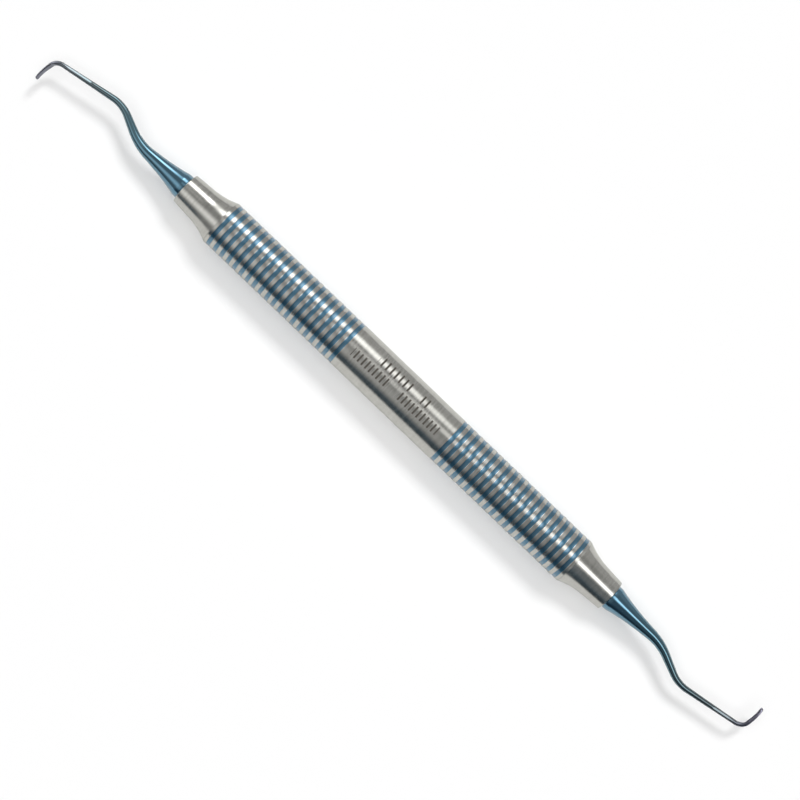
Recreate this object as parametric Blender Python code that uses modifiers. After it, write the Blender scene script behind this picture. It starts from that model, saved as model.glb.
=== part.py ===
"""Double-ended hand scaler: hollow handle with banded grips, turned noses, forged working ends.

Frame: +X along the handle, +Z up, origin on the resting surface under the handle's middle.
All lengths are in metres, written as millimetres times MM.
"""
import math

import bmesh
import bpy
from mathutils import Matrix, Vector

MM = 0.001

# Facets of turned pieces touch the true round, and one of them faces straight down.
SIDES = 20
WIRE_SIDES = 16
FIT = 0.03 * MM                 # clearance between pieces that are pressed, bonded or filled

# Handle
HANDLE_LENGTH = 108.4 * MM      # over the two nose faces
HANDLE_RADIUS = 4.75 * MM
BORE_RADIUS = 3.60 * MM
EDGE_CHAMFER = 0.12 * MM
AXIS_HEIGHT = HANDLE_RADIUS

# Nose plugs
NOSE_LENGTH = 9.1 * MM
NOSE_FACE_RADIUS = 3.18 * MM
NOSE_SHOULDER_RADIUS = 4.70 * MM
NECK_SLOPE = 0.068              # radius gained for each length of the plain neck
FLARE_START = 4.1 * MM          # where the neck starts to flare, from the nose face
FLARE_STEPS = 6
SPIGOT_LENGTH = 8.0 * MM
SOCKET_RADIUS = 1.50 * MM

# Grip bands
BANDS = 20                      # on each grip
BAND_PITCH = 1.626 * MM
BAND_WIDTH = 0.80 * MM
BAND_RECESS = 0.04 * MM         # the fill's face below the steel lands
GROOVE_DEPTH = 0.25 * MM
FIRST_BAND_X = 44.0 * MM        # centre of the band nearest to each nose

# Working ends
TANG_RADIUS = 1.20 * MM
TANG_LENGTH = 12.0 * MM
CONE_RIM_RADIUS = 2.50 * MM
BOND_LENGTH = 11.0 * MM
CONE_SPREAD = 2.13 * MM         # the trumpet-shaped cone's extra radius at its base
CONE_FADE = 7.33 * MM           # length over which that radius falls by a factor of e
SHANK_RADIUS = 0.665 * MM       # the plain shank, carried back to the base
SHANK_TAPER = 0.0070
CONE_STEP = 0.9 * MM
BEND_STEPS = 5
BEND_RADII = (12.0 * MM, 7.0 * MM, 1.9 * MM)
BLADE_WIDTH = 0.90 * MM         # over the two cutting edges, at the heel
TOE_WIDTH = 0.70 * MM
BLADE_DEPTH_RATIO = 0.80        # depth of face and back, over the width
FACE_LEVEL = 0.12               # where the flat face cuts the round section, in half widths
FACE_TILT = math.radians(24)    # the face leans to one side about the blade's own length
BLADE_BOW = 0.15 * MM
TOE_LENGTH = 0.45 * MM
BLADE_STEPS = 6
TOE_STEPS = 4

# Corners of each end's centreline in millimetres: out from the nose face, sideways, upwards.
# The ends are bent by hand and then ground, so they differ by about a millimetre.
LEFT_CORNERS = ((11.78, -0.15, 0.0), (18.90, 3.15, 0.45), (33.35, 0.50, 0.20), (33.72, -4.50, 0.10))
RIGHT_CORNERS = ((12.82, -0.12, 0.0), (20.32, 3.08, 0.45), (34.32, 0.66, 0.20), (34.52, -4.50, 0.10))


def clear_scene():
    for obj in list(bpy.data.objects):
        bpy.data.objects.remove(obj, do_unlink=True)


def new_collection(name):
    collection = bpy.data.collections.new(name)
    bpy.context.scene.collection.children.link(collection)
    return collection


def metal(name, color, roughness, metallic=1.0):
    material = bpy.data.materials.new(name)
    material.use_nodes = True
    shader = material.node_tree.nodes["Principled BSDF"]
    shader.inputs["Base Color"].default_value = (*color, 1.0)
    shader.inputs["Roughness"].default_value = roughness
    shader.inputs["Metallic"].default_value = metallic
    return material


def turned(name, profile, material, collection, turn=0.0):
    """A turned piece on the handle's axis from a closed (x, radius) outline, outer side first.

    The outline runs from +X to -X along its outer side. turn is the piece's half turn about
    +Z, for the copy at the other end.
    """
    corner = 1.0 / math.cos(math.pi / SIDES)
    mesh = bpy.data.meshes.new(name)
    verts = [(radius * corner, 0.0, x) for x, radius in profile]
    edges = [(i, (i + 1) % len(profile)) for i in range(len(profile))]
    mesh.from_pydata(verts, edges, [])
    obj = bpy.data.objects.new(name, mesh)
    collection.objects.link(obj)
    obj.data.materials.append(material)
    screw = obj.modifiers.new("Turn", "SCREW")
    screw.axis = "Z"
    screw.steps = screw.render_steps = SIDES
    screw.use_merge_vertices = True
    screw.merge_threshold = 0.000001
    screw.use_smooth_shade = True
    stand = Matrix.Translation((0.0, 0.0, AXIS_HEIGHT))
    lay = Matrix.Rotation(math.pi / 2, 4, "Y") @ Matrix.Rotation(math.pi / SIDES, 4, "Z")
    obj.matrix_world = stand @ Matrix.Rotation(turn, 4, "Z") @ lay
    return obj


def tube_profile():
    """Outer side with one square groove for each band, then back along the bore."""
    end = HANDLE_LENGTH / 2 - NOSE_LENGTH
    floor = HANDLE_RADIUS - GROOVE_DEPTH
    points = [(end, HANDLE_RADIUS - EDGE_CHAMFER), (end - EDGE_CHAMFER, HANDLE_RADIUS)]
    centres = [FIRST_BAND_X - i * BAND_PITCH for i in range(BANDS)]
    for x in centres + [-x for x in reversed(centres)]:
        near, far = x + BAND_WIDTH / 2, x - BAND_WIDTH / 2
        points += [(near, HANDLE_RADIUS), (near, floor), (far, floor), (far, HANDLE_RADIUS)]
    points += [(-end + EDGE_CHAMFER, HANDLE_RADIUS), (-end, HANDLE_RADIUS - EDGE_CHAMFER)]
    return points + [(-end, BORE_RADIUS), (end, BORE_RADIUS)]


def neck_radius(distance):
    """Plain tapered neck that sweeps out into the shoulder, by distance from the nose face."""
    shoulder = NOSE_LENGTH - FIT
    plain = NOSE_FACE_RADIUS + NECK_SLOPE * distance
    rise = NOSE_SHOULDER_RADIUS - NOSE_FACE_RADIUS - NECK_SLOPE * shoulder
    sweep = max(0.0, distance - FLARE_START) / (shoulder - FLARE_START)
    return plain + rise * sweep ** 2


def nose_profile():
    """The +X nose plug: neck and flare outside, a spigot in the tube, a socket right through."""
    face = HANDLE_LENGTH / 2
    shoulder = NOSE_LENGTH - FIT
    spigot_radius = BORE_RADIUS - FIT
    distances = [EDGE_CHAMFER]
    distances += [FLARE_START + (shoulder - FLARE_START) * i / FLARE_STEPS
                  for i in range(FLARE_STEPS + 1)]
    points = [(face, NOSE_FACE_RADIUS - EDGE_CHAMFER)]
    points += [(face - d, neck_radius(d)) for d in distances]
    spigot_end = face - shoulder - SPIGOT_LENGTH
    points += [(face - shoulder, spigot_radius), (spigot_end + EDGE_CHAMFER, spigot_radius)]
    points += [(spigot_end, spigot_radius - EDGE_CHAMFER)]
    return points + [(spigot_end, SOCKET_RADIUS), (face, SOCKET_RADIUS)]


def band_profile(centre):
    """One band of hard fill in its groove."""
    half = BAND_WIDTH / 2 - FIT
    outer = HANDLE_RADIUS - BAND_RECESS
    inner = HANDLE_RADIUS - GROOVE_DEPTH + FIT
    return [(centre + half, outer), (centre - half, outer),
            (centre - half, inner), (centre + half, inner)]


def bond_profile():
    """The +X sleeve of cured bond between the tang and its socket."""
    start = HANDLE_LENGTH / 2 - FIT
    outer = SOCKET_RADIUS - FIT
    inner = TANG_RADIUS / math.cos(math.pi / WIRE_SIDES) + FIT
    end = start - BOND_LENGTH
    return [(start, outer), (end, outer), (end, inner), (start, inner)]


def shank_radius(distance):
    """Radius of cone and shank by the length of steel out from the nose face."""
    spread = CONE_SPREAD * math.exp(-distance / CONE_FADE)
    return min(CONE_RIM_RADIUS, SHANK_RADIUS - SHANK_TAPER * distance + spread)


def rounded_route(corners):
    """Centreline through the corners, each but the last rounded by an arc of its own radius."""
    points = [Vector((0.0, 0.0, 0.0)), *[Vector(c) * MM for c in corners]]
    route = [points[0]]
    for i, radius in enumerate(BEND_RADII, start=1):
        back = (points[i - 1] - points[i]).normalized()
        ahead = (points[i + 1] - points[i]).normalized()
        half_angle = back.angle(ahead) / 2
        reach = radius / math.tan(half_angle)
        centre = points[i] + (back + ahead).normalized() * (radius / math.sin(half_angle))
        start = (points[i] + back * reach - centre).normalized()
        end = (points[i] + ahead * reach - centre).normalized()
        route += [centre + start.slerp(end, k / BEND_STEPS) * radius
                  for k in range(BEND_STEPS + 1)]
    return route, points[-1]


def cone_route(first_bend_start):
    """Close stations along the cone, up to the start of the first bend."""
    steps = int(first_bend_start.x / CONE_STEP)
    return [first_bend_start * (i / steps) for i in range(1, steps)]


def blade_route(heel, toe):
    """Stations from the heel to the toe, bowed a little outwards, closer at the round toe."""
    along = toe - heel
    length = along.length
    side = Vector((-along.y, along.x, 0.0)).normalized()
    reach = [(length - TOE_LENGTH) * i / BLADE_STEPS / length for i in range(1, BLADE_STEPS + 1)]
    toe_share = TOE_LENGTH / length
    reach += [1.0 - toe_share * (1.0 - math.sin(math.pi / 2 * i / TOE_STEPS))
              for i in range(1, TOE_STEPS)] + [1.0 - toe_share * 0.02]
    return reach, [heel + along * t + side * BLADE_BOW * math.sin(math.pi * t) for t in reach]


def section(centre, tangent, face, half_width, half_depth, level):
    """A ring round the centreline: round while level is 1, with a flat face when it is less."""
    across = tangent.cross(face).normalized()
    toward = across.cross(tangent).normalized()
    ring = []
    for i in range(WIRE_SIDES):
        angle = 2.0 * math.pi * (i + 0.5) / WIRE_SIDES
        depth = min(math.cos(angle), level)
        ring.append(centre + toward * depth * half_depth + across * math.sin(angle) * half_width)
    return ring


def working_end_rings(corners):
    """Every section of one end, from the tang's inner tip to the toe, in the end's own frame."""
    round_corner = 1.0 / math.cos(math.pi / WIRE_SIDES)
    out = Vector((1.0, 0.0, 0.0))
    up = Vector((0.0, 0.0, 1.0))
    seat = FIT
    rim = seat + EDGE_CHAMFER
    stub = [(-TANG_LENGTH, TANG_RADIUS - EDGE_CHAMFER), (EDGE_CHAMFER - TANG_LENGTH, TANG_RADIUS),
            (seat, TANG_RADIUS), (seat, CONE_RIM_RADIUS - EDGE_CHAMFER), (rim, CONE_RIM_RADIUS)]
    rings = [section(out * x, out, out.cross(up), r * round_corner, r * round_corner, 1.0)
             for x, r in stub]

    route, toe = rounded_route(corners)
    route = cone_route(route[1]) + route[1:]
    reach, blade = blade_route(route[-1], toe)
    heel_start = len(route) - BEND_STEPS
    route += blade
    travelled = 0.0
    for i, centre in enumerate(route):
        before = route[i - 1] if i else Vector((0.0, 0.0, 0.0))
        after = route[i + 1] if i + 1 < len(route) else toe
        travelled += (centre - before).length
        tangent = (after - before).normalized()
        grind = min(1.0, max(0.0, (i - heel_start) / BEND_STEPS))
        face = Matrix.Rotation(-FACE_TILT * grind, 3, tangent) @ tangent.cross(up)
        radius = shank_radius(travelled)
        half_width = half_depth = radius * round_corner
        if i >= heel_start:
            t = reach[i - len(route) + len(blade)] if i >= len(route) - len(blade) else 0.0
            narrow = (BLADE_WIDTH + (TOE_WIDTH - BLADE_WIDTH) * t) / 2
            half_width += (narrow - half_width) * grind
            half_depth += (narrow * BLADE_DEPTH_RATIO * 2 / (1 + FACE_LEVEL) - half_depth) * grind
            left = (1.0 - t) * (toe - blade[0]).length
            if left < TOE_LENGTH:
                taper = math.sqrt(max(0.02, 1.0 - (1.0 - left / TOE_LENGTH) ** 2))
                half_width *= taper
                half_depth *= taper
        level = 1.0 + (FACE_LEVEL - 1.0) * grind
        rings.append(section(centre, tangent, face, half_width, half_depth, level))
    return rings


def working_end(name, corners, hand, material, collection):
    """One forged end as a loft. hand is -1 for the -X end and 1 for its mirror at +X."""
    bm = bmesh.new()
    rings = []
    for ring in working_end_rings(corners):
        rings.append([bm.verts.new((hand * (HANDLE_LENGTH / 2 + p.x), -hand * p.y,
                                    AXIS_HEIGHT - hand * p.z)) for p in ring])
    for first, second in zip(rings, rings[1:]):
        for i in range(WIRE_SIDES):
            j = (i + 1) % WIRE_SIDES
            bm.faces.new((first[i], first[j], second[j], second[i]))
    bm.faces.new(rings[0])
    bm.faces.new(rings[-1])
    bmesh.ops.recalc_face_normals(bm, faces=bm.faces)
    mesh = bpy.data.meshes.new(name)
    bm.to_mesh(mesh)
    bm.free()
    mesh.shade_smooth()
    mesh.set_sharp_from_angle(angle=math.radians(35))
    obj = bpy.data.objects.new(name, mesh)
    collection.objects.link(obj)
    mesh.materials.append(material)
    return obj


def build():
    clear_scene()
    scaler = new_collection("hand_scaler")
    satin = metal("satin_steel", (0.60, 0.60, 0.58), 0.28)
    blue_fill = metal("blue_fill", (0.05, 0.17, 0.28), 0.15, metallic=0.6)
    blue_steel = metal("blue_coated_steel", (0.06, 0.16, 0.26), 0.18)
    bond = metal("cured_bond", (0.35, 0.33, 0.28), 0.6, metallic=0.0)

    turned("handle_tube", tube_profile(), satin, scaler)
    for side, turn, hand, corners in (("left", math.pi, -1, LEFT_CORNERS),
                                      ("right", 0.0, 1, RIGHT_CORNERS)):
        turned(f"nose_{side}", nose_profile(), satin, scaler, turn)
        turned(f"tang_bond_{side}", bond_profile(), bond, scaler, turn)
        working_end(f"working_end_{side}", corners, hand, blue_steel, scaler)
        for i in range(BANDS):
            centre = FIRST_BAND_X - i * BAND_PITCH
            turned(f"grip_band_{side}_{i + 1:02d}", band_profile(centre), blue_fill, scaler, turn)


build()
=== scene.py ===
import math

import bpy
from mathutils import Matrix, Vector


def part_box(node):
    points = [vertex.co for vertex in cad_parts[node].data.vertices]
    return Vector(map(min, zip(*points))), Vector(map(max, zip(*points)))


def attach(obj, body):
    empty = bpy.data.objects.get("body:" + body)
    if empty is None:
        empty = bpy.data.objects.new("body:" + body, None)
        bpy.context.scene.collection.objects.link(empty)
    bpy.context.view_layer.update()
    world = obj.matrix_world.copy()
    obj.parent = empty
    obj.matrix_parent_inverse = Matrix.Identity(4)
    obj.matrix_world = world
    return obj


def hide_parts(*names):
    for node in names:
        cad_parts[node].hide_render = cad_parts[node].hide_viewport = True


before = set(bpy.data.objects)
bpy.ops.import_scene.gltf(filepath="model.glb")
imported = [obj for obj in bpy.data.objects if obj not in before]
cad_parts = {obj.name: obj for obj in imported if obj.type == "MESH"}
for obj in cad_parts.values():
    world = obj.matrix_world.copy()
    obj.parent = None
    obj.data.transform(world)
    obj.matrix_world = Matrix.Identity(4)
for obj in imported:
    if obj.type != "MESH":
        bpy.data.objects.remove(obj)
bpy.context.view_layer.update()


# ---- Handle tube --------------------------------------------------------------------------
# A hollow tube of stainless steel, turned from bar: a plain middle and twenty narrow grooves
# in each grip. It is finished in the lathe with fine abrasive, so its lines run round it, and
# two rows of plain ticks are etched dark on the middle.
MM = 0.001
SIDES = ("left", "right")
BAND_COUNT = 20
GROOVE_CLEARANCE = 0.03 * MM
ROUND_STEPS = 180
SHARP_ANGLE = math.radians(32)
LAND_EDGE = 0.055 * MM
GROOVE_FLOOR_DEPTH = 0.25 * MM
BORE_RADIUS = 3.60 * MM
TUBE_END_ROUND = 0.05 * MM
STEEL_DARK = (0.50, 0.495, 0.470, 1)
STEEL_LIGHT = (0.74, 0.735, 0.705, 1)
TICK_COLOR = (0.075, 0.068, 0.058, 1)
TICK_BAR = (0.17 * MM, 0.22 * MM)
TICK_SOFT = 0.05 * MM

tube_low, tube_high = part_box("handle_tube")
AXIS_Z = (tube_low.z + tube_high.z) / 2
TUBE_RADIUS = (tube_high.z - tube_low.z) / 2
TUBE_END = tube_high.x


class Wire:
    """One output of a shader node. Arithmetic on it adds the Math nodes."""

    def __init__(self, tree, socket):
        self.tree = tree
        self.socket = socket

    def node(self, kind, settings=None, inputs=None, output=0):
        """Adds a node of any kind: its settings first, then its sockets' values or wires."""
        made = self.tree.nodes.new(kind)
        for key, value in (settings or {}).items():
            if key == "stops":
                ramp = made.color_ramp
                while len(ramp.elements) < len(value):
                    ramp.elements.new(0.5)
                for element, (place, color) in zip(ramp.elements, value):
                    element.position = place
                    element.color = (*color, 1.0)
            else:
                setattr(made, key, value)
        for key, value in (inputs or {}).items():
            if isinstance(value, Wire):
                self.tree.links.new(value.socket, made.inputs[key])
            else:
                made.inputs[key].default_value = value
        return Wire(self.tree, made.outputs[output])

    def math(self, operation, first, second=0.0):
        return self.node("ShaderNodeMath", {"operation": operation}, {0: first, 1: second})

    def __add__(self, other):
        return self.math("ADD", self, other)

    def __radd__(self, other):
        return self.math("ADD", other, self)

    def __sub__(self, other):
        return self.math("SUBTRACT", self, other)

    def __rsub__(self, other):
        return self.math("SUBTRACT", other, self)

    def __mul__(self, other):
        return self.math("MULTIPLY", self, other)

    def __rmul__(self, other):
        return self.math("MULTIPLY", other, self)

    def __truediv__(self, other):
        return self.math("DIVIDE", self, other)

    def __abs__(self):
        return self.math("ABSOLUTE", self)

    def smooth(self, low, high, start=0.0, end=1.0):
        """Goes smoothly from start to end as this value goes from low to high."""
        settings = {"interpolation_type": "SMOOTHSTEP"}
        inputs = {"Value": self, "From Min": low, "From Max": high, "To Min": start, "To Max": end}
        return self.node("ShaderNodeMapRange", settings, inputs)

    def stretched(self, x, y, z):
        """This vector with each part scaled."""
        return self.node("ShaderNodeVectorMath", {"operation": "MULTIPLY"}, {0: self, 1: (x, y, z)})

    def noise(self, scale, detail=2.0, roughness=0.5):
        inputs = {"Vector": self, "Scale": scale, "Detail": detail, "Roughness": roughness}
        return self.node("ShaderNodeTexNoise", {}, inputs)

    def ramp(self, stops):
        return self.node("ShaderNodeValToRGB", {"stops": stops}, {"Fac": self})

    def blend(self, low, high):
        """A colour from low to high by this value."""
        return self.node("ShaderNodeMix", {"data_type": "RGBA"}, {0: self, 6: low, 7: high}, 2)

    def bump(self, height, distance):
        """A normal from this value times height, over a depth of distance in metres."""
        inputs = {"Height": self * height, "Distance": distance, "Strength": 1.0}
        return self.node("ShaderNodeBump", {}, inputs)


def new_finish(name):
    """An empty material and its place wire, in metres from the frame's origin."""
    material = bpy.data.materials.new(name)
    material.use_nodes = True
    tree = material.node_tree
    tree.nodes.clear()
    place = Wire(tree, tree.nodes.new("ShaderNodeTexCoord").outputs["Object"])
    return material, place


def close_finish(place, inputs):
    """The surface shader, with each socket named in inputs."""
    surface = place.node("ShaderNodeBsdfPrincipled", {}, inputs)
    target = place.tree.nodes.new("ShaderNodeOutputMaterial")
    place.tree.links.new(surface.socket, target.inputs["Surface"])


def parts_of(place):
    """The x, y and z of a place, with z from the handle's axis."""
    split = place.node("ShaderNodeSeparateXYZ", {}, {"Vector": place})
    outputs = split.socket.node.outputs
    x, y, z = (Wire(place.tree, outputs[i]) for i in range(3))
    return x, y, z - AXIS_Z


def turned(name, outline):
    """A piece turned on the handle's axis from a closed (x, radius) outline, outer side first."""
    steps = range(ROUND_STEPS)
    spokes = [(math.cos(2 * math.pi * k / ROUND_STEPS), math.sin(2 * math.pi * k / ROUND_STEPS))
              for k in steps]
    verts = [(x, radius * c, AXIS_Z + radius * s) for x, radius in outline for c, s in spokes]
    faces = []
    for i in range(len(outline)):
        here, ahead = i * ROUND_STEPS, (i + 1) % len(outline) * ROUND_STEPS
        faces += [(here + k, ahead + k, ahead + (k + 1) % ROUND_STEPS,
                   here + (k + 1) % ROUND_STEPS) for k in steps]
    mesh = bpy.data.meshes.new(name)
    mesh.from_pydata(verts, [], faces)
    mesh.shade_smooth()
    mesh.set_sharp_from_angle(angle=SHARP_ANGLE)
    obj = bpy.data.objects.new(name, mesh)
    bpy.context.scene.collection.objects.link(obj)
    return obj


def mirrored(outline):
    """The same outline at the other end of the handle, outer side still running from +X."""
    return [(-x, radius) for x, radius in reversed(outline)]


def groove(near, far):
    """A groove with tiny rounded edges, from its +X wall to its -X wall."""
    edge, floor = LAND_EDGE, TUBE_RADIUS - GROOVE_FLOOR_DEPTH
    return [(near + edge * 1.5, TUBE_RADIUS), (near + edge, TUBE_RADIUS),
            (near + edge * 0.3, TUBE_RADIUS - edge * 0.3), (near, TUBE_RADIUS - edge),
            (near, floor), (far, floor), (far, TUBE_RADIUS - edge),
            (far - edge * 0.3, TUBE_RADIUS - edge * 0.3), (far - edge, TUBE_RADIUS),
            (far - edge * 1.5, TUBE_RADIUS)]


band_span = {}
for side in SIDES:
    for i in range(BAND_COUNT):
        low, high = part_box(f"grip_band_{side}_{i + 1:02d}")
        band_span[side, i] = (high.x + GROOVE_CLEARANCE, low.x - GROOVE_CLEARANCE)

tube_outline = [(TUBE_END, TUBE_RADIUS - TUBE_END_ROUND), (TUBE_END - TUBE_END_ROUND, TUBE_RADIUS),
                (TUBE_END - TUBE_END_ROUND * 1.6, TUBE_RADIUS)]
for near, far in sorted(band_span.values(), reverse=True):
    tube_outline += groove(near, far)
tube_outline += [(-x, radius) for x, radius in reversed(tube_outline[:3])]
tube_outline += [(-TUBE_END, BORE_RADIUS), (TUBE_END, BORE_RADIUS)]
tube = turned("handle_tube_turned", tube_outline)


def satin_steel(name, brushed, ticks=False):
    """Stainless steel with fine lines round it. brushed is how strong the lines are."""
    material, place = new_finish(name)
    x, y, z = parts_of(place)
    lines = place.stretched(4200, 220, 220).noise(1.0, detail=3.0, roughness=0.70)
    broad = place.stretched(1400, 60, 60).noise(1.0, detail=1.0)
    cloud = place.stretched(90, 200, 200).noise(1.0, detail=3.0)
    shade = (cloud - 0.5) * 0.25 + (broad - 0.5) * 0.35 * brushed + (lines - 0.5) * 1.7 * brushed
    tone = shade + 0.5
    color = tone.blend(STEEL_DARK, STEEL_LIGHT)
    rough = 0.20 + (cloud - 0.5) * 0.14 + (lines - 0.5) * 0.28 * brushed
    normal = ((lines - 0.5) * brushed + (broad - 0.5) * 0.6 * brushed).bump(0.6, 0.004 * MM)
    metallic = 1.0
    if ticks:
        mark = etched_ticks(x, y, z)
        color = mark.blend(color, TICK_COLOR)
        rough = rough + mark * 0.35
        metallic = 1.0 - mark * 0.6
    close_finish(place, {"Base Color": color, "Roughness": rough, "Metallic": metallic,
                         "Normal": normal})
    return material


def etched_ticks(x, y, z):
    """Two rows of plain ticks along the top of the middle, like a worn scale with two gaps."""
    turn = y.math("ARCTAN2", y, z) * TUBE_RADIUS
    # Millimetres: the row's place round the tube, half a tick's height, the pitch, and the
    # middle and half length of each group of ticks.
    rows = ((2.25, 1.00, 1.10, ((-2.45, 4.0), (5.0, 1.4))),
            (-0.25, 0.85, 0.92, ((-6.6, 4.4), (5.2, 5.0))))
    mask = None
    for centre, half_height, pitch, groups in rows:
        near = abs(x.math("PINGPONG", x, pitch / 2 * MM))
        bar = near.smooth(*TICK_BAR, 1.0, 0.0)
        off = abs(turn - centre * MM)
        tall = off.smooth(half_height * MM, half_height * MM + TICK_SOFT, 1.0, 0.0)
        inside = None
        for middle, half_length in groups:
            reach = half_length * MM
            group = abs(x - middle * MM).smooth(reach, reach + TICK_SOFT, 1.0, 0.0)
            inside = group if inside is None else inside + group
        row = bar * tall * inside
        mask = row if mask is None else mask + row
    return mask


tube.data.materials.append(satin_steel("satin_steel_tube", 1.0, ticks=True))
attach(tube, "root")
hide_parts("handle_tube")


# ---- Grip bands ---------------------------------------------------------------------------
# A hard blue gloss fill in each groove, stopped just below the lands. It clings to the walls,
# so its face is a shallow hollow from side to side.
BAND_EDGE_DROP = 0.030 * MM
BAND_HOLLOW = 0.022 * MM
BAND_STEPS = 10
BAND_THICKNESS = 0.17 * MM
COAT_BLUE = (0.064, 0.215, 0.350)


def band_outline(near, far):
    """The hollow face from the +X wall to the -X wall, then back along the groove's floor."""
    middle, half = (near + far) / 2, (near - far) / 2
    points = []
    for k in range(BAND_STEPS + 1):
        across = 1.0 - 2.0 * k / BAND_STEPS
        drop = BAND_EDGE_DROP + BAND_HOLLOW * (1.0 - across * across)
        points.append((middle + half * across, TUBE_RADIUS - drop))
    inner = TUBE_RADIUS - BAND_THICKNESS - BAND_EDGE_DROP
    return points + [(far, inner), (near, inner)]


def blue_fill():
    """Gloss blue with a metallic depth, a little uneven from band to band."""
    material, place = new_finish("blue_band_fill_gloss")
    uneven = place.stretched(260, 500, 500).noise(1.0, detail=2.0)
    ripple = place.stretched(900, 900, 900).noise(1.0, detail=1.0)
    color = uneven.blend((COAT_BLUE[0] * 0.80, COAT_BLUE[1] * 0.84, COAT_BLUE[2] * 0.86, 1),
                         (COAT_BLUE[0] * 1.20, COAT_BLUE[1] * 1.15, COAT_BLUE[2] * 1.12, 1))
    rough = 0.33 + (uneven - 0.5) * 0.10
    normal = (ripple - 0.5).bump(1.0, 0.004 * MM)
    close_finish(place, {"Base Color": color, "Roughness": rough, "Metallic": 1.0,
                         "Normal": normal, "Coat Weight": 1.0, "Coat IOR": 1.80,
                         "Coat Roughness": 0.07})
    return material


fill = blue_fill()
for (side, i), (near, far) in band_span.items():
    band = turned(f"band_fill_{side}_{i + 1:02d}", band_outline(near, far))
    band.data.materials.append(fill)
    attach(band, "root")
    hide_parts(f"grip_band_{side}_{i + 1:02d}")


# ---- Nose plugs ---------------------------------------------------------------------------
# Solid stainless plugs turned to a slightly tapered neck that sweeps out to the tube. Each is
# pressed into the tube by a spigot and has a socket right through for the working end's tang.
NOSE_FACE_RADIUS = 3.18 * MM
NOSE_SHOULDER_RADIUS = 4.72 * MM
NECK_SLOPE = 0.068
FLARE_START = 4.1 * MM
NOSE_STEPS = 30
FACE_ROUND = 0.14 * MM
SOCKET_RADIUS = 1.50 * MM
SPIGOT_RADIUS = BORE_RADIUS - 0.01 * MM

FACE_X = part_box("nose_right")[1].x
SHOULDER_X = TUBE_END + 0.012 * MM
SPIGOT_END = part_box("nose_right")[0].x
NOSE_LENGTH = FACE_X - SHOULDER_X


def neck_radius(distance):
    """Tapered neck that sweeps out into the shoulder, by distance from the nose's face."""
    plain = NOSE_FACE_RADIUS + NECK_SLOPE * distance
    rise = NOSE_SHOULDER_RADIUS - NOSE_FACE_RADIUS - NECK_SLOPE * NOSE_LENGTH
    sweep = max(0.0, distance - FLARE_START) / (NOSE_LENGTH - FLARE_START)
    return plain + rise * sweep ** 2


nose_outline = [(FACE_X, neck_radius(0) - FACE_ROUND),
                (FACE_X - FACE_ROUND * 0.1, neck_radius(0) - FACE_ROUND * 0.6),
                (FACE_X - FACE_ROUND * 0.35, neck_radius(0) - FACE_ROUND * 0.2)]
nose_outline += [(FACE_X - d, neck_radius(d)) for d in
                 [FACE_ROUND] + [FACE_ROUND * 1.4 + (NOSE_LENGTH - FACE_ROUND * 1.4) * k / NOSE_STEPS
                                 for k in range(NOSE_STEPS + 1)]]
nose_outline += [(SHOULDER_X, SPIGOT_RADIUS), (SPIGOT_END, SPIGOT_RADIUS),
                 (SPIGOT_END, SOCKET_RADIUS), (FACE_X, SOCKET_RADIUS)]
nose_steel = satin_steel("satin_steel_nose", 0.7)
for side, outline in (("right", nose_outline), ("left", mirrored(nose_outline))):
    nose = turned(f"nose_{side}_turned", outline)
    nose.data.materials.append(nose_steel)
    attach(nose, "root")
    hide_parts(f"nose_{side}")


# ---- Working ends -------------------------------------------------------------------------
# Each end is forged and ground from one bar of tool steel: a tang, a trumpet-shaped cone, a
# shank bent twice and a hooked blade with a flat face between two edges. A thin hard coating
# turns it blue, and the ground steel nearest the blade is greyer. The ends are turned opposite
# ways and bent by hand, so their corners differ a little.
CONE_RIM_RADIUS = 2.50 * MM
CONE_SPREAD = 2.13 * MM
CONE_FADE = 7.33 * MM
SHANK_RADIUS = 0.665 * MM
SHANK_TAPER = 0.0070
RIM_ROUND = 0.22 * MM
RIM_ANGLES = (0.0, 0.3, 0.6, 0.9, 1.2)
SEAT_GAP = 0.02 * MM
TANG_RADIUS = 1.20 * MM
TANG_LENGTH = 12.0 * MM
TANG_CHAMFER = 0.3 * MM
STATION = 0.25 * MM
BEND_RADII = (12.0 * MM, 7.0 * MM, 1.9 * MM)
BACK_POINTS = 32
FACE_POINTS = 16
BLADE_WIDTH = 0.90 * MM
TOE_WIDTH = 0.70 * MM
BLADE_DEPTH_RATIO = 0.80
ROUND_EDGE_ANGLE = math.radians(60)
FACE_LEVEL = 0.12
FACE_TILT = math.radians(24)
BLADE_BOW = 0.15 * MM
TOE_LENGTH = 0.45 * MM
TOE_STEPS = 8
FLAT_LENGTH = {"left": 6.0 * MM, "right": 4.6 * MM}
FLAT_LEVEL = 0.90
FLAT_FADE = 1.2 * MM
FLAT_LEAN = {"left": 24, "right": 10}
# Corners of each end's centreline in millimetres: out from the nose face, sideways, upwards.
CORNERS = {"left": ((11.78, -0.15, 0.0), (18.90, 3.15, 0.45), (33.35, 0.50, 0.20),
                    (33.72, -4.50, 0.10)),
           "right": ((12.82, -0.12, 0.0), (20.32, 3.08, 0.45), (34.32, 0.66, 0.20),
                     (34.52, -4.50, 0.10))}


def shank_radius(distance):
    """Radius of cone and shank by the length of steel out from the nose's face."""
    spread = CONE_SPREAD * math.exp(-distance / CONE_FADE)
    return min(CONE_RIM_RADIUS, SHANK_RADIUS - SHANK_TAPER * distance + spread)


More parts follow.
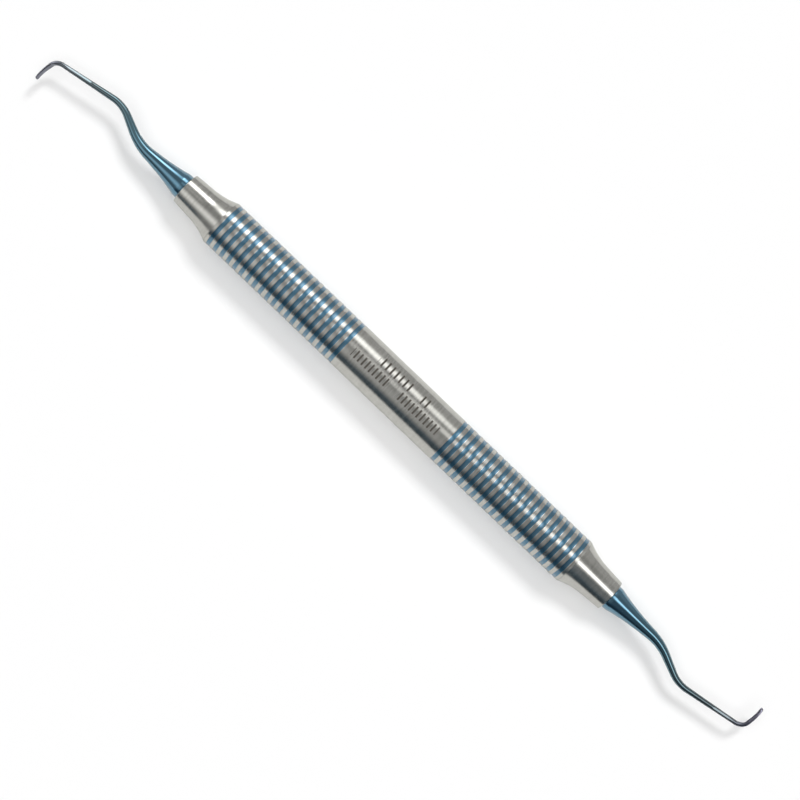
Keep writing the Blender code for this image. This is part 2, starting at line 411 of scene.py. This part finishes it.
def shank_route(corners):
    """Centreline stations from the nose's face to the heel, and where the last bend starts."""
    points = [Vector((0.0, 0.0, 0.0)), *[Vector(c) * MM for c in corners]]
    route = [points[0]]
    bend_start = 0
    for i, radius in enumerate(BEND_RADII, start=1):
        back = (points[i - 1] - points[i]).normalized()
        ahead = (points[i + 1] - points[i]).normalized()
        half_angle = back.angle(ahead) / 2
        reach = radius / math.tan(half_angle)
        centre = points[i] + (back + ahead).normalized() * (radius / math.sin(half_angle))
        first = points[i] + back * reach
        gap = first - route[-1]
        count = max(1, round(gap.length / STATION))
        route += [route[-1] + gap * (k / count) for k in range(1, count + 1)]
        bend_start = len(route) - 1
        start = (first - centre).normalized()
        end = (points[i] + ahead * reach - centre).normalized()
        count = max(6, round(radius * (math.pi - 2 * half_angle) / (STATION * 0.7)))
        route += [centre + start.slerp(end, k / count) * radius for k in range(1, count + 1)]
    return route, bend_start, points[-1]


def section(centre, tangent, face, half_width, half_depth, flat):
    """A ring that is round at flat 0 and has a flat face between two edges at flat 1."""
    across = tangent.cross(face).normalized()
    toward = across.cross(tangent).normalized()
    edge = ROUND_EDGE_ANGLE + (math.acos(FACE_LEVEL) - ROUND_EDGE_ANGLE) * flat
    ring = []
    for k in range(FACE_POINTS):
        share = k / FACE_POINTS * 2.0 - 1.0
        angle = edge * share
        depth = math.cos(angle) + (math.cos(edge) - math.cos(angle)) * flat
        width = math.sin(angle) + (math.sin(edge) * share - math.sin(angle)) * flat
        ring.append(centre + toward * depth * half_depth + across * width * half_width)
    for k in range(BACK_POINTS):
        angle = edge + (2.0 * math.pi - 2.0 * edge) * k / BACK_POINTS
        ring.append(centre + toward * math.cos(angle) * half_depth
                    + across * math.sin(angle) * half_width)
    return ring


def ground_flats(ring, centre, normal, limit):
    """The ring with a flat cut on the side that normal points to and on the far side."""
    cut = []
    for point in ring:
        depth = (point - centre).dot(normal)
        over = max(0.0, abs(depth) - limit)
        cut.append(point - normal * math.copysign(over, depth))
    return cut


def end_rings(corners, flat_length, flat_lean):
    """Every section of one end, from the tang's inner tip to the toe, in the end's own frame."""
    out, up = Vector((1.0, 0.0, 0.0)), Vector((0.0, 0.0, 1.0))
    rim = [(SEAT_GAP + RIM_ROUND * (1 - math.cos(a)), CONE_RIM_RADIUS - RIM_ROUND
            + RIM_ROUND * math.sin(a)) for a in RIM_ANGLES]
    stub = [(-TANG_LENGTH, TANG_RADIUS * 0.85), (-TANG_LENGTH + TANG_CHAMFER, TANG_RADIUS),
            (SEAT_GAP, TANG_RADIUS), *rim]
    rings = [section(out * x, out, out.cross(up), r, r, 0.0) for x, r in stub]
    route, bend_start, toe = shank_route(corners)
    route = route[1:]
    bend_start -= 1
    heel = len(route) - 1
    along = toe - route[heel]
    length = along.length
    side = Vector((-along.y, along.x, 0.0)).normalized()
    count = round((length - TOE_LENGTH) / STATION)
    reach = [(1.0 - TOE_LENGTH / length) * k / count for k in range(1, count + 1)]
    reach += [1.0 - TOE_LENGTH / length * (1.0 - math.sin(math.pi / 2 * k / TOE_STEPS))
              for k in range(1, TOE_STEPS)] + [1.0 - TOE_LENGTH / length * 0.003]
    route += [route[heel] + along * t + side * BLADE_BOW * math.sin(math.pi * t) for t in reach]
    straight_end = sum((b - a).length for a, b in zip(route, route[1:bend_start + 1]))
    travelled = 0.0
    for i, centre in enumerate(route):
        before = route[i - 1] if i else Vector((0.0, 0.0, 0.0))
        after = route[i + 1] if i + 1 < len(route) else toe
        travelled += (centre - before).length
        tangent = (after - before).normalized()
        grind = min(1.0, max(0.0, (i - bend_start) / (heel - bend_start)))
        grind = grind * grind * (3 - 2 * grind)
        face = Matrix.Rotation(-FACE_TILT * grind, 3, tangent) @ tangent.cross(up)
        half_width = half_depth = shank_radius(travelled)
        if i > bend_start:
            t = reach[i - heel - 1] if i > heel else 0.0
            narrow = (BLADE_WIDTH + (TOE_WIDTH - BLADE_WIDTH) * t) / 2
            half_width += (narrow - half_width) * grind
            half_depth += (narrow * BLADE_DEPTH_RATIO * 2 / (1 + FACE_LEVEL) - half_depth) * grind
            left = (1.0 - t) * length
            if left < TOE_LENGTH:
                taper = math.sqrt(max(0.002, 1.0 - (1.0 - left / TOE_LENGTH) ** 2))
                half_width *= taper
                half_depth *= taper
        ring = section(centre, tangent, face, half_width, half_depth, grind)
        if 0 < straight_end - travelled < flat_length:
            normal = Matrix.Rotation(math.radians(90 - flat_lean), 3, tangent) @ face
            fade = min(1.0, (straight_end - travelled) / FLAT_FADE)
            ring = ground_flats(ring, centre, normal, half_width * (1 - (1 - FLAT_LEVEL) * fade))
        rings.append(ring)
    return rings


def lofted(name, rings):
    """A closed skin over rings of equal count, capped at both ends."""
    count = len(rings[0])
    verts = [p for ring in rings for p in ring]
    faces = [(i * count + k, i * count + (k + 1) % count, (i + 1) * count + (k + 1) % count,
              (i + 1) * count + k) for i in range(len(rings) - 1) for k in range(count)]
    faces += [tuple(reversed(range(count))), tuple(range(len(verts) - count, len(verts)))]
    mesh = bpy.data.meshes.new(name)
    mesh.from_pydata(verts, [], faces)
    mesh.shade_smooth()
    mesh.set_sharp_from_angle(angle=SHARP_ANGLE)
    obj = bpy.data.objects.new(name, mesh)
    bpy.context.scene.collection.objects.link(obj)
    return obj


# Shares of the reach from the nose's face, and the coating's colour there.
COAT_REACH = 40 * MM
COAT_STOPS = [(0.0, (0.055, 0.225, 0.360)), (0.30, (0.035, 0.180, 0.265)),
              (0.46, (0.035, 0.130, 0.170)), (0.66, (0.042, 0.088, 0.108)),
              (0.80, (0.075, 0.105, 0.130)), (0.88, (0.170, 0.160, 0.250))]


def coated_steel():
    """Polished steel under a blue coating that greys towards the ground blade."""
    material, place = new_finish("blue_coated_steel_end")
    x = parts_of(place)[0]
    color = ((abs(x) - FACE_X) / COAT_REACH).ramp(COAT_STOPS)
    fine = place.stretched(600, 3500, 3500).noise(1.0, detail=3.0)
    cloud = place.stretched(300, 500, 500).noise(1.0, detail=2.0)
    rough = 0.13 + (cloud - 0.5) * 0.08 + (fine - 0.5) * 0.06
    normal = (fine - 0.5).bump(1.0, 0.002 * MM)
    close_finish(place, {"Base Color": color, "Roughness": rough, "Metallic": 1.0,
                         "Normal": normal, "Coat Weight": 1.0, "Coat IOR": 2.0,
                         "Coat Roughness": 0.06})
    return material


coating = coated_steel()
for side, hand in (("left", -1), ("right", 1)):
    rings = [[Vector((hand * (FACE_X + p.x), -hand * p.y, AXIS_Z - hand * p.z)) for p in ring]
             for ring in end_rings(CORNERS[side], FLAT_LENGTH[side], FLAT_LEAN[side])]
    if hand > 0:
        rings = [list(reversed(ring)) for ring in rings]
    end = lofted(f"working_end_{side}_ground", rings)
    end.data.materials.append(coating)
    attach(end, "root")
    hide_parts(f"working_end_{side}")


# ---- Tang bond ----------------------------------------------------------------------------
# The cured bond round each tang, hidden in the nose. Its solids stay as they are.
def cured_bond():
    """Dull grey-brown resin with small pores."""
    material, place = new_finish("cured_bond_dull")
    pores = place.stretched(3000, 3000, 3000).noise(1.0, detail=3.0)
    color = pores.blend((0.22, 0.20, 0.17, 1), (0.42, 0.40, 0.34, 1))
    close_finish(place, {"Base Color": color, "Roughness": 0.45 + pores * 0.3,
                         "Normal": pores.bump(1.0, 0.01 * MM)})
    return material


bond = cured_bond()
for side in SIDES:
    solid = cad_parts[f"tang_bond_{side}"]
    solid.data.materials.clear()
    solid.data.materials.append(bond)


# ---- Floor and light ----------------------------------------------------------------------
# A white sheet under soft light. Reflections see a narrower sheet with a grey room behind it.
def sheet(name, low_y, high_y, z, color, reach=3.0):
    """A flat rectangle of dull paper."""
    mesh = bpy.data.meshes.new(name)
    mesh.from_pydata([(-reach, low_y, z), (reach, low_y, z), (reach, high_y, z),
                      (-reach, high_y, z)], [], [(0, 1, 2, 3)])
    obj = bpy.data.objects.new(name, mesh)
    bpy.context.scene.collection.objects.link(obj)
    material, place = new_finish(name)
    close_finish(place, {"Base Color": (*color, 1), "Roughness": 0.9, "Specular IOR Level": 0.0})
    obj.data.materials.append(material)
    return obj


floor = sheet("floor", -3.0, 3.0, -0.02 * MM, (0.90, 0.90, 0.90))
floor.visible_glossy = False
under = sheet("floor_seen_in_steel", -3.0, 22 * MM, -0.01 * MM, (0.68, 0.68, 0.66))
under.visible_camera = False
under.visible_diffuse = False
under.visible_shadow = False
under.visible_transmission = False


def light_tent():
    """A round tent of cloth over the tool, lit by soft boxes, that only the steel sees."""
    radius, reach, steps = 0.6, 3.0, 96
    ring = [(radius * math.sin(2 * math.pi * k / steps), radius * math.cos(2 * math.pi * k / steps))
            for k in range(steps)]
    mesh = bpy.data.meshes.new("light_tent")
    mesh.from_pydata([(x, y, z) for x in (-reach, reach) for y, z in ring], [],
                     [(k, (k + 1) % steps, steps + (k + 1) % steps, steps + k) for k in range(steps)])
    tent = bpy.data.objects.new("light_tent", mesh)
    bpy.context.scene.collection.objects.link(tent)
    material, place = new_finish("tent_cloth")
    x, y, z = parts_of(place)
    lean = y.math("ARCTAN2", y, z + AXIS_Z) * (180 / math.pi)

    def card(centre, half, soft):
        """A soft-edged stripe along the handle, by its lean in degrees from overhead to +Y."""
        return abs(lean - centre).smooth(half - soft, half + soft, 1.0, 0.0)

    # How bright each soft box and the black flag are along x: the key over the left grip, one
    # beyond the left end, a second over the right grip, and a low one from the left.
    key_level = x.smooth(-0.14, 0.13, 2.4, 0.12) * x.smooth(0.12, 0.18, 1.0, 0.0)
    key_level = (key_level + x.smooth(-0.30, -0.16, 1.6, 0.0)) * x.smooth(-0.44, -0.30, 0.25, 1.0)
    end_level = x.smooth(-0.72, -0.50, 1.7, 0.0)
    second_level = x.smooth(-0.02, 0.19, 0.27, 2.4) * x.smooth(-0.26, -0.18)
    low_level = x.smooth(-0.26, 0.07, 0.72, 0.02)
    flag_level = 0.22 + x.smooth(-0.40, -0.12, 0.5, 0.0) + x.smooth(0.12, 0.32, 0.0, 0.16)
    # The flag hangs low on the -Y side. Under it, level with the sheet, is the bright room.
    tilt = lean + x.smooth(-0.28, 0.05, 10.0, 0.0)
    flag = tilt.smooth(-66, -34, flag_level, 1.0)
    horizon = lean.smooth(-86, -80, 1.0, 0.0)
    shade = 0.28 + card(97, 36, 6) * 0.11 + card(-28, 16, 14) * low_level
    shade = shade * flag * (1.0 - x.smooth(0.05, 0.22) * lean.smooth(-10, 5, 0.45, 0.0))
    light = shade * (1.0 - horizon) + horizon * 0.75
    light = light + card(51, 11, 8) * key_level + card(15, 9, 6) * second_level
    light = light + card(49, 14, 9) * end_level
    # The dim parts of the cloth are a little blue.
    tint = light.smooth(0.04, 0.24).blend((0.68, 1.0, 1.26, 1), (1.0, 1.0, 0.98, 1))
    glow = place.node("ShaderNodeVectorMath", {"operation": "SCALE"}, {0: tint, "Scale": light})
    close_finish(place, {"Base Color": (0, 0, 0, 1), "Specular IOR Level": 0.0,
                         "Emission Color": glow, "Emission Strength": 1.0})
    mesh.materials.append(material)
    tent.visible_camera = False
    tent.visible_diffuse = False
    tent.visible_shadow = False
    tent.visible_transmission = False


light_tent()

world = bpy.data.worlds.new("white_room")
bpy.context.scene.world = world
world.use_nodes = True
world.node_tree.nodes["Background"].inputs["Color"].default_value = (1, 1, 1, 1)
world.node_tree.nodes["Background"].inputs["Strength"].default_value = 1.0
world.cycles_visibility.diffuse = False
world.cycles_visibility.glossy = False


def far_lamp(name, lean, spread, strength, shadow):
    """A lamp so far off that its light is even, tipped by lean towards +Y."""
    lamp = bpy.data.lights.new(name, "SUN")
    lamp.angle = math.radians(spread)
    lamp.energy = strength
    lamp.use_shadow = shadow
    obj = bpy.data.objects.new(name, lamp)
    bpy.context.scene.collection.objects.link(obj)
    obj.rotation_euler = (-math.radians(lean), 0.0, 0.0)
    obj.visible_glossy = False


far_lamp("key_lamp", lean=38, spread=15, strength=1.34, shadow=True)
far_lamp("fill_lamp", lean=0, spread=60, strength=2.43, shadow=False)


# ---- Camera -------------------------------------------------------------------------------
# A long macro lens straight above the tool, turned so that the tool lies corner to corner.
CAMERA_TURN = math.radians(43.81)
LENS_HEIGHT = 419 * MM
FRAME_WIDTH = 147.4 * MM
FRAME_CENTRE = (1.32 * MM, -0.78 * MM)

camera = bpy.data.cameras.new("camera")
camera.sensor_width = 36.0
camera.lens = camera.sensor_width * LENS_HEIGHT / FRAME_WIDTH
camera.clip_start = 0.01
camera.clip_end = 20.0
camera_obj = bpy.data.objects.new("camera", camera)
bpy.context.scene.collection.objects.link(camera_obj)
camera_obj.location = (*FRAME_CENTRE, AXIS_Z + LENS_HEIGHT)
camera_obj.rotation_euler = (0.0, 0.0, CAMERA_TURN)
bpy.context.scene.camera = camera_obj
bpy.context.scene.view_settings.view_transform = "Standard"
